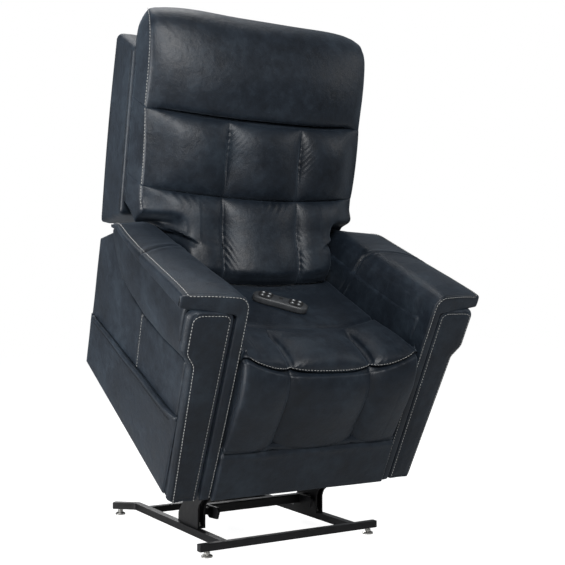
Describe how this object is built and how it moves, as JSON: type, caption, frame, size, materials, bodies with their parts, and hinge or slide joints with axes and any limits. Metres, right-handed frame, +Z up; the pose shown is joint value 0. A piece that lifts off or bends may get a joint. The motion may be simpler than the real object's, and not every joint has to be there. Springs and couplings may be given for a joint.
{
  "type": "lift recliner chair",
  "caption": "Power lift recliner with padded arms, tufted back, folding footrest and wired handset, shown with the lift raised on its steel base.",
  "frame": {"origin": "middle of the footprint on the floor", "axes": "+Z up, the sitter faces -Y, +X is the sitter's left"},
  "size_m": [0.908, 0.9163, 1.47],
  "materials": {
    "leather": "satin",
    "black_steel": "satin",
    "zinc_steel": "satin",
    "black_plastic": "matte",
    "wood": "matte",
    "black_cloth": "matte",
    "handset_plastic": "satin",
    "key_plastic": "satin"
  },
  "bodies": {
    "base": {"base_front_tube": "black_steel", "base_side_rails": "black_steel", "base_rear_tube": "black_steel", "tube_end_caps": "black_plastic", "lift_pedestals": "black_steel", "pedestal_tie": "black_steel", "lift_actuator_clevis": "black_steel", "base_bolts": "zinc_steel"},
    "lift_arms": {"lift_arms": "black_steel", "lift_arm_cross_tube": "black_steel"},
    "front_links": {"front_links": "black_steel"},
    "lift_actuator": {"lift_actuator_tube": "black_plastic", "lift_actuator_motor": "black_plastic"},
    "lift_rod": {"lift_actuator_rod": "zinc_steel"},
    "chair": {"lift_frame": "black_steel", "seat_box_frame": "wood", "seat_springs": "zinc_steel", "arm_frame_left": "wood", "arm_frame_right": "wood", "side_panel_left": "leather", "side_panel_right": "leather", "inner_pad_left": "leather", "inner_pad_right": "leather", "front_panel_left": "leather", "front_panel_right": "leather", "arm_cap_left": "leather", "arm_cap_right": "leather", "side_pocket": "leather", "seat_cushion": "leather", "kickboard": "leather", "rear_cover": "black_cloth", "control_box": "black_plastic", "power_inlet": "black_plastic"},
    "back": {"back_shell": "leather", "back_board": "wood", "recline_frame": "black_steel", "head_cushion": "leather", "mid_cushion": "leather", "lumbar_cushion": "leather"},
    "recline_actuator": {"recline_actuator_body": "black_plastic"},
    "recline_rod": {"recline_actuator_rod": "zinc_steel"},
    "footrest_lower": {"footrest_lower_links": "black_steel"},
    "footrest_upper": {"footrest_upper_links": "black_steel"},
    "footrest": {"footrest_board": "wood", "footrest_pad": "leather"},
    "footrest_actuator": {"footrest_actuator_body": "black_plastic"},
    "footrest_rod": {"footrest_actuator_rod": "zinc_steel"},
    "handset": {"handset_body": "handset_plastic"},
    "key_recline_back": {"button_recline_back": "key_plastic"},
    "key_recline_up": {"button_recline_up": "key_plastic"},
    "key_legs_up": {"button_legs_up": "key_plastic"},
    "key_legs_down": {"button_legs_down": "key_plastic"},
    "key_lift_up": {"button_lift_up": "key_plastic"},
    "key_lift_down": {"button_lift_down": "key_plastic"},
    "key_head_up": {"button_head_up": "key_plastic"},
    "key_head_down": {"button_head_down": "key_plastic"},
    "foot_front_left": {"foot_front_left": "zinc_steel"},
    "foot_front_right": {"foot_front_right": "zinc_steel"},
    "foot_rear_left": {"foot_rear_left": "zinc_steel"},
    "foot_rear_right": {"foot_rear_right": "zinc_steel"}
  },
  "joints": [
    {"name": "lift", "type": "hinge", "parent": "base", "child": "lift_arms", "pos_m": [0, 0.0376, 0.16022], "axis": [1, 0, 0], "range_deg": [-64.08, 0]},
    {"name": "chair_tilt", "type": "hinge", "parent": "lift_arms", "child": "chair", "pos_m": [0, 0.29439, 0.45013], "axis": [1, 0, 0], "range_deg": [-0.5, 35.58]},
    {"name": "front_link_swing", "type": "hinge", "parent": "base", "child": "front_links", "pos_m": [0, -0.0446, 0.14152], "axis": [1, 0, 0], "range_deg": [-78.3, 0.5]},
    {"name": "lift_actuator_swing", "type": "hinge", "parent": "base", "child": "lift_actuator", "pos_m": [0, 0.3306, 0.055], "axis": [1, 0, 0], "range_deg": [-0.5, 2.42]},
    {"name": "lift_actuator_stroke", "type": "slide", "parent": "lift_actuator", "child": "lift_rod", "axis": [0, -0.844, 0.5364], "range_m": [-0.08103, 0.001]},
    {"name": "recline", "type": "hinge", "parent": "chair", "child": "back", "pos_m": [0, 0.09219, 0.77367], "axis": [-1, 0, 0], "range_deg": [0, 45]},
    {"name": "recline_actuator_swing", "type": "hinge", "parent": "chair", "child": "recline_actuator", "pos_m": [0, -0.08251, 0.40814], "axis": [1, 0, 0], "range_deg": [-0.5, 11.15]},
    {"name": "recline_actuator_stroke", "type": "slide", "parent": "recline_actuator", "child": "recline_rod", "axis": [0, 0.686, 0.7276], "range_m": [-0.07656, 0.001]},
    {"name": "footrest", "type": "hinge", "parent": "chair", "child": "footrest_lower", "pos_m": [0, -0.31711, 0.47247], "axis": [-1, 0, 0], "range_deg": [0, 90]},
    {"name": "footrest_knee", "type": "hinge", "parent": "footrest_lower", "child": "footrest_upper", "pos_m": [0, -0.23954, 0.33254], "axis": [-1, 0, 0], "range_deg": [-180.5, 0.5]},
    {"name": "footrest_board_hinge", "type": "hinge", "parent": "footrest_upper", "child": "footrest", "pos_m": [0, -0.31711, 0.47247], "axis": [-1, 0, 0], "range_deg": [-0.5, 180.5]},
    {"name": "footrest_actuator_swing", "type": "hinge", "parent": "chair", "child": "footrest_actuator", "pos_m": [0, -0.0027, 0.57358], "axis": [1, 0, 0], "range_deg": [-2.91, 0.5]},
    {"name": "footrest_actuator_stroke", "type": "slide", "parent": "footrest_actuator", "child": "footrest_rod", "axis": [0, -0.8781, -0.4785], "range_m": [-0.001, 0.10846]},
    {"name": "handset_lift_off", "type": "slide", "parent": "chair", "child": "handset", "axis": [0, -0.4226, 0.9063], "range_m": [0, 0.12]},
    {"name": "press_recline_back", "type": "slide", "parent": "handset", "child": "key_recline_back", "axis": [0, 0.4226, -0.9063], "range_m": [0, 0.001], "stiffness_N_per_m": 900},
    {"name": "press_recline_up", "type": "slide", "parent": "handset", "child": "key_recline_up", "axis": [0, 0.4226, -0.9063], "range_m": [0, 0.001], "stiffness_N_per_m": 900},
    {"name": "press_legs_up", "type": "slide", "parent": "handset", "child": "key_legs_up", "axis": [0, 0.4226, -0.9063], "range_m": [0, 0.001], "stiffness_N_per_m": 900},
    {"name": "press_legs_down", "type": "slide", "parent": "handset", "child": "key_legs_down", "axis": [0, 0.4226, -0.9063], "range_m": [0, 0.001], "stiffness_N_per_m": 900},
    {"name": "press_lift_up", "type": "slide", "parent": "handset", "child": "key_lift_up", "axis": [0, 0.4226, -0.9063], "range_m": [0, 0.001], "stiffness_N_per_m": 900},
    {"name": "press_lift_down", "type": "slide", "parent": "handset", "child": "key_lift_down", "axis": [0, 0.4226, -0.9063], "range_m": [0, 0.001], "stiffness_N_per_m": 900},
    {"name": "press_head_up", "type": "slide", "parent": "handset", "child": "key_head_up", "axis": [0, 0.4226, -0.9063], "range_m": [0, 0.001], "stiffness_N_per_m": 900},
    {"name": "press_head_down", "type": "slide", "parent": "handset", "child": "key_head_down", "axis": [0, 0.4226, -0.9063], "range_m": [0, 0.001], "stiffness_N_per_m": 900},
    {"name": "level_front_left", "type": "slide", "parent": "base", "child": "foot_front_left", "axis": [0, 0, -1], "range_m": [0, 0.01]},
    {"name": "level_front_right", "type": "slide", "parent": "base", "child": "foot_front_right", "axis": [0, 0, -1], "range_m": [0, 0.01]},
    {"name": "level_rear_left", "type": "slide", "parent": "base", "child": "foot_rear_left", "axis": [0, 0, -1], "range_m": [0, 0.01]},
    {"name": "level_rear_right", "type": "slide", "parent": "base", "child": "foot_rear_right", "axis": [0, 0, -1], "range_m": [0, 0.01]}
  ],
  "couplings": [
    {"joint": "chair_tilt", "follows": "lift", "ratio": -0.54743},
    {"joint": "front_link_swing", "follows": "lift", "ratio": 1.2141},
    {"joint": "lift_actuator_swing", "follows": "lift", "ratio": -0.029991},
    {"joint": "lift_actuator_stroke", "follows": "lift", "m_per_rad": 0.071559},
    {"joint": "recline_actuator_swing", "follows": "recline", "ratio": 0.23668},
    {"joint": "recline_actuator_stroke", "follows": "recline", "m_per_rad": -0.096207},
    {"joint": "footrest_knee", "follows": "footrest", "ratio": -2},
    {"joint": "footrest_board_hinge", "follows": "footrest", "ratio": 2},
    {"joint": "footrest_actuator_swing", "follows": "footrest", "ratio": -0.026747},
    {"joint": "footrest_actuator_stroke", "follows": "footrest", "m_per_rad": 0.068411}
  ]
}
